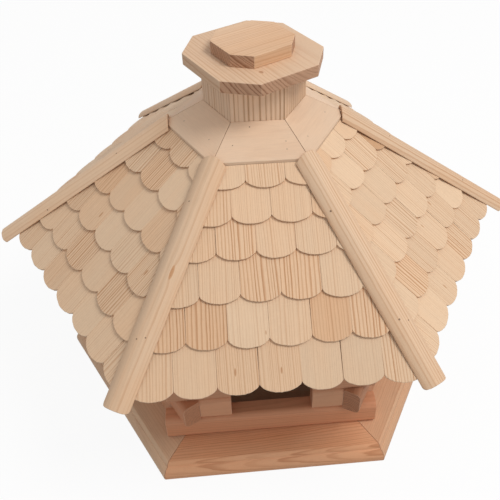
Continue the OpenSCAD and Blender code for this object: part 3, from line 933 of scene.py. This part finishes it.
def makeCaps():
    rng = random.Random(88)
    looks = {
        "front_left": dict(light=0.98, ruddy=0.25, stripe=0.6, pith=(50, -60)),
        "front_right": dict(light=1.01, ruddy=0.1, stripe=1.05, pith=(70, -30)),
        "left": dict(light=1.09, ruddy=0.16, stripe=0.5), "right": dict(light=0.97, ruddy=0.2, stripe=1.0),
    }
    knots = {"front_left": (tuple(hipPoint(135, 5, cap["crest"])), 1.5)}
    for index, name in enumerate(hipNames):
        # the upper end is cut plumb, to stand against the collar
        solid = loft([[hipPoint(place, across, height, plumb) for across, height in capLoop(wide, sunk)]
                      for place, wide, sunk, plumb in capStations()])
        look = lookOf(rng, **looks.get(name, {}))
        look["lean"] = (rng.gauss(0, 0.4), rng.gauss(0, 0.4))
        look["knot"] = knots.get(name)
        node = "hip_cap_" + name
        keepTimber(node, solid, 30 + 60 * index, (tuple(hipDown), (1, 0, 0), tuple(hipUp)), look)
        buildNamed(node, "cap_wood", 12)


collar = {"tuck": 0.2, "spare": 6, "mitreGap": 0.22, "ease": 0.5}


def makeCollar():
    rng = random.Random(21)
    # each board's lightness goes with the side it faces: painted light on the shaded left board, painted
    # shade on the lit right one
    looks = {"front": dict(light=1.01, ruddy=0.05), "front_left": dict(light=1.06, ruddy=0.08),
             "front_right": dict(light=0.95, ruddy=0.03)}
    face, inner = feeder["collarFace"], neckFace + collar["tuck"]
    half = face * halfSide + collar["spare"]
    run = Vector(wallPoint(face, 0, collarLow)) - Vector(wallPoint(neckFace, 0, collarTop))
    run.normalize()
    up = Vector((1, 0, 0)).cross(run)
    profile = ((inner, collarTop), (face, collarLow),
               (face, collarLow - collarDrop), (inner, collarTop - collarDrop))
    for side, name in enumerate(sideNames):
        board = slab([wallPoint(reach, -half, height) for reach, height in profile], (2 * half, 0, 0))
        for sign in (-1, 1):
            cutMitre(board, sign, collar["mitreGap"])
            clip = Vector((sign * 0.5, -cos30, 0))
            cutAway(board, clip * collarReach, clip)
        easeEdges(board, collar["ease"], 2)
        look = lookOf(rng, pith=(rng.uniform(-30, 30), -90), lean=(0.5, 1.5), stripe=0.6,
                      **looks.get(name, {}))
        keepTimber("collar_board_" + name, board, 60 * side, ((1, 0, 0), tuple(run), tuple(up)), look, 0.7)
        buildNamed("collar_board_" + name, "collar_wood")


# the groove darkening and warming are painted shade: how dark on the front, the share on the other sides, and
# how much warmer
neck = {"bands": 10.5, "dip": 0.55, "dark": 0.42, "restGrooveShade": 0.6, "grooveShadeWarmth": 0.8, "cornerGap": 0.25,
        "steps": 168, "fade": 12, "core": 12}


def makeNeck():
    # six staves, brushed along the rings so that the soft early wood lies in narrow grooves; the grooves also
    # get painted shade, darker and warmer, deepest on the front
    rng = random.Random(63)
    low = collarTop - collarDrop - feeder["neckTail"]
    looks = {"front": dict(light=1.16, ruddy=0.12, stripe=0.5),
             "front_left": dict(light=1.03, ruddy=0.04, stripe=0.9)}
    half = neckFace * halfSide
    steps, core = neck["steps"], neck["core"]
    for side, name in enumerate(sideNames):
        lines, place = [], -half - rng.uniform(0, 2)
        while place < half:
            lines.append((place, rng.uniform(0.45, 0.9), rng.uniform(0.45, 1.0)))
            place += 2 * half / neck["bands"] * rng.uniform(0.72, 1.3)

        def grooveAt(across):
            return max(deep * math.exp(-((across - middle) / wide) ** 2) for middle, wide, deep in lines)

        outline = []
        for i in range(steps + 1):
            across = -half + 2 * half * i / steps
            fade = min(1.0, neck["fade"] * i / steps, neck["fade"] * (steps - i) / steps)
            outline.append((across, -(neckFace - neck["dip"] * grooveAt(across) * fade), low))
        outline += [(core * halfSide, -core, low), (-core * halfSide, -core, low)]
        stave = slab(outline, (0, 0, plateLow - low))
        for sign in (-1, 1):
            cutMitre(stave, sign, neck["cornerGap"] / 2)
        # painted shade in the grooves, deepest on the front stave
        dark = neck["dark"] if name == "front" else neck["dark"] * neck["restGrooveShade"]
        look = lookOf(rng, pith=(rng.uniform(90, 140), 10), lean=(0.3, 0.3), scale=0.6, **looks.get(name, {}))
        # the tone darkens and warms the wood by groove depth: painted shade
        keepTimber("neck", stave, 60 * side, ((0, 0, 1), (1, 0, 0), (0, -1, 0)), look,
                   toneAt=lambda co: (1 - dark * grooveAt(co[0]), neck["grooveShadeWarmth"] * grooveAt(co[0]), 0))
    buildNamed("neck", "collar_wood", 20)


top = {
    "plate": {"wide": 123.5, "long": 127, "cut": 28.5, "thick": 12.5, "ease": 0.8},
    "knob": {"wide": 77, "long": 70, "cut": 17, "thick": 13, "ease": 0.6},
    "plainFrom": 20, "paleFrom": (10, 7.5), "plateKnot": (-20, -43.5, 12),
}


def cutCornerPlate(size, low):
    a, b, cut = size["wide"] / 2, size["long"] / 2, size["cut"]
    outline = [(a, -b + cut), (a, b - cut), (a - cut, b), (-a + cut, b),
               (-a, b - cut), (-a, -b + cut), (-a + cut, -b), (a - cut, -b)]
    solid = slab([(x, y, low) for x, y in outline], (0, 0, size["thick"]))
    easeEdges(solid, size["ease"], 3)
    return solid


def plateTone(co):
    # plainer on the right, striped on the left
    return (0.98, -0.06, -0.5) if co[0] > top["plainFrom"] else (0.97, 0, 0.2)


def knobTone(co):
    # paler at the back of its upper face
    across, up = top["paleFrom"]
    return (1.05, -0.4, 0) if co[1] > across and co[2] > plateLow + top["plate"]["thick"] + up else (1, 0, 0)


def makeTop():
    look = lookOf(random.Random(5), pith=(55, -60), lean=(1.0, 0.6), light=1.0, ruddy=0.12,
                  stripe=0.95, scale=0.8)
    x, y, height = top["plateKnot"]
    look["knot"] = ((x, y, plateLow + height), 2.0)
    keepTimber("cap_plate", cutCornerPlate(top["plate"], plateLow), feeder["topTurn"],
               ((0, 1, 0), (-1, 0, 0), (0, 0, 1)), look, 0.6, plateTone)
    buildNamed("cap_plate", "top_wood", 30)
    look = lookOf(random.Random(9), pith=(70, -42), lean=(0.6, 1.0), light=1.0, ruddy=0.65,
                  stripe=1.4, scale=0.6)
    keepTimber("knob", cutCornerPlate(top["knob"], plateLow + top["plate"]["thick"]), feeder["topTurn"],
               ((1, 0, 0), (0, 1, 0), (0, 0, 1)), look, 0.6, knobTone)
    buildNamed("knob", "top_wood", 30)


# small heads, nearly flush; the rings of a head are a share of its radius, and a height
nail = {"cap": 0.75, "collar": 0.55, "sides": 12, "rings": ((1.0, -1.2), (1.0, 0.04), (0.7, 0.1))}
# along the cap from its outer end, and across; a third number is the radius of a larger head
capNails = {
    "left": ((73, 12.0), (182.2, 4.4)),
    "front_right": ((191.2, -9.5, 1.0), (69.7, -4.1, 1.0), (64.8, 4.4)),
    "front_left": ((66.7, -2.7), (70.5, 5.0), (205, -6)),
    "right": ((70, -5), (186, -3)), "back_right": ((60, 4), (188, -5)), "back_left": ((66, -4), (180, 5)),
}
# across the board, and reach from the centre
collarNails = {
    "front": ((-8.7, 52.2, 0.9), (-26.7, 68.3), (26.2, 66.9), (26.5, 74.2)),
    "front_left": ((-25.3, 72.0), (22, 70)), "front_right": ((-24, 71), (25.5, 69.8)),
    "back_right": ((-25, 70), (24, 72)), "back": ((-26, 71), (25, 69)), "back_left": ((-23, 70), (25, 72)),
}


def addNail(verts, faces, centre, normal, turn, head):
    # a low dome that starts under the surface
    normal = Vector(normal).normalized()
    side = normal.orthogonal().normalized()
    other = normal.cross(side)
    spin = Matrix.Rotation(math.radians(turn), 3, "Z")
    start, count = len(verts), nail["sides"]
    for share, height in nail["rings"]:
        for k in range(count):
            angle = 2 * math.pi * k / count
            outward = (side * math.cos(angle) + other * math.sin(angle)) * (head * share)
            verts.append(spin @ (Vector(centre) + outward + normal * height) * mm)
    last = len(nail["rings"]) - 1
    for ring in range(last):
        for k in range(count):
            a, b = start + ring * count + k, start + ring * count + (k + 1) % count
            faces.append((a, b, b + count, a + count))
    faces.append([start + last * count + k for k in range(count)])
    faces.append([start + count - 1 - k for k in range(count)])


def nailPiece(name, verts, faces, finish):
    mesh = bpy.data.meshes.new(name)
    mesh.from_pydata([tuple(v) for v in verts], [], faces)
    mesh.materials.append(finish)
    thing = bpy.data.objects.new(name, mesh)
    bpy.context.scene.collection.objects.link(thing)
    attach(thing, "root")


def makeNails():
    finish = nailMaterial()
    verts, faces = [], []
    for index, name in enumerate(hipNames):
        for along, across, *head in capNails[name]:
            slope = capTop(across + 0.5) - capTop(across - 0.5)
            addNail(verts, faces, hipPoint(along, across, capTop(across)), hipUp - Vector((slope, 0, 0)),
                    30 + 60 * index, head[0] if head else nail["cap"])
    nailPiece("cap_nails", verts, faces, finish)
    verts, faces = [], []
    for side, name in enumerate(sideNames):
        for across, reach, *head in collarNails[name]:
            height = collarLow + (feeder["collarFace"] - reach) * math.tan(collarSlope)
            addNail(verts, faces, wallPoint(reach, across, height),
                    (0, -math.sin(collarSlope), math.cos(collarSlope)),
                    60 * side, head[0] if head else nail["collar"])
    nailPiece("collar_nails", verts, faces, finish)


studio = {
    "floorFar": 8.0, "floorDrop": 0.0005, "floorTone": 0.5, "floorSeen": 0.95, "floorGlow": 0.92,
    "keyFrom": (0.47, -0.27, 0.84), "keyAim": 0.2, "keyFar": 2.4, "keySize": 1.0, "keyPower": 28.0,
    "keyTint": (1.0, 0.985, 0.96), "skyStrength": 0.56,
}


def seenNode(add, calc):
    # 1 where the eye looks at it, straight, in a gloss or through glass
    path = add("ShaderNodeLightPath")
    bounced = calc("MAXIMUM", path.outputs["Is Glossy Ray"], path.outputs["Is Transmission Ray"])
    return calc("MAXIMUM", path.outputs["Is Camera Ray"], bounced)


def makeFloorPlane():
    # white where it is seen, grey to the light it throws back, and it keeps the shadow
    far, drop = studio["floorFar"], -studio["floorDrop"]
    mesh = bpy.data.meshes.new("studioFloor")
    mesh.from_pydata([(-far, -far, drop), (far, -far, drop), (far, far, drop), (-far, far, drop)],
                     [], [(0, 1, 2, 3)])
    floor = bpy.data.objects.new("studioFloor", mesh)
    bpy.context.scene.collection.objects.link(floor)
    material = bpy.data.materials.new("studio_floor")
    tree = emptyTree(material)
    add, calc, _, _, mix = nodeKit(tree)
    glow = add("ShaderNodeEmission", {"Color": rgb(1, 1, 1), "Strength": 1.0})
    seen = seenNode(add, calc)
    low, high = studio["floorTone"], studio["floorSeen"]
    matt = add("ShaderNodeBsdfDiffuse", {"Color": mix(seen, rgb(low, low, low), rgb(high, high, high))})
    blend = add("ShaderNodeMixShader", {0: calc("MULTIPLY", seen, studio["floorGlow"]),
                                        1: matt.outputs[0], 2: glow.outputs[0]})
    endTree(tree, blend)
    mesh.materials.append(material)


def makeSky():
    world = bpy.data.worlds.new("studio")
    bpy.context.scene.world = world
    tree = emptyTree(world)
    add, calc, _, _, _ = nodeKit(tree)
    seen = seenNode(add, calc)
    soft = add("ShaderNodeBackground", {"Color": rgb(1, 1, 1), "Strength": studio["skyStrength"]})
    clear = add("ShaderNodeBackground", {"Color": rgb(1, 1, 1), "Strength": 1.0})
    blend = add("ShaderNodeMixShader", {0: seen, 1: soft.outputs[0], 2: clear.outputs[0]})
    endTree(tree, blend, "ShaderNodeOutputWorld")


def makeKeyLight():
    lamp = bpy.data.lights.new("keyLight", "AREA")
    lamp.shape = "DISK"
    lamp.size = studio["keySize"]
    lamp.energy = studio["keyPower"]
    lamp.color = studio["keyTint"]
    key = bpy.data.objects.new("keyLight", lamp)
    bpy.context.scene.collection.objects.link(key)
    towards = Vector(studio["keyFrom"]).normalized()
    key.location = Vector((0, 0, studio["keyAim"])) + towards * studio["keyFar"]
    key.rotation_mode = "QUATERNION"
    key.rotation_quaternion = towards.to_track_quat("Z", "Y")


eye = {
    "azimuth": -5.4, "elevation": 41.6, "roll": -0.1, "distance": 825.9,
    "target": (26.2, -2.5, 162.2), "focalPixels": 660.9, "centre": (280.0, 240.0), "picture": 500,
    "sensor": 36.0, "clip": (0.01, 60.0),
}


def makeCamera():
    a, e = math.radians(eye["azimuth"]), math.radians(eye["elevation"])
    back = Vector((math.sin(a) * math.cos(e), -math.cos(a) * math.cos(e), math.sin(e)))
    data = bpy.data.cameras.new("camera")
    data.sensor_width = eye["sensor"]
    data.sensor_fit = "HORIZONTAL"
    data.lens = eye["focalPixels"] / eye["picture"] * data.sensor_width
    data.shift_x = (eye["picture"] / 2 - eye["centre"][0]) / eye["picture"]
    data.shift_y = (eye["centre"][1] - eye["picture"] / 2) / eye["picture"]
    data.clip_start, data.clip_end = eye["clip"]
    camera = bpy.data.objects.new("camera", data)
    bpy.context.scene.collection.objects.link(camera)
    camera.location = (Vector(eye["target"]) + back * eye["distance"]) * mm
    camera.rotation_mode = "QUATERNION"
    roll = Matrix.Rotation(math.radians(eye["roll"]), 3, back)
    camera.rotation_quaternion = roll.to_quaternion() @ (-back).to_track_quat("-Z", "Y")
    bpy.context.scene.camera = camera


makeBase()
makeFloor()
print("base made")
makeWalls()
print("walls made")
makeRoofBoards()
makeShingles()
makeCaps()
print("roof made")
makeCollar()
makeNeck()
makeTop()
makeNails()
print("collar, top and nails made")
makeFloorPlane()
makeSky()
makeKeyLight()
bpy.context.scene.view_settings.view_transform = "Standard"
makeCamera()
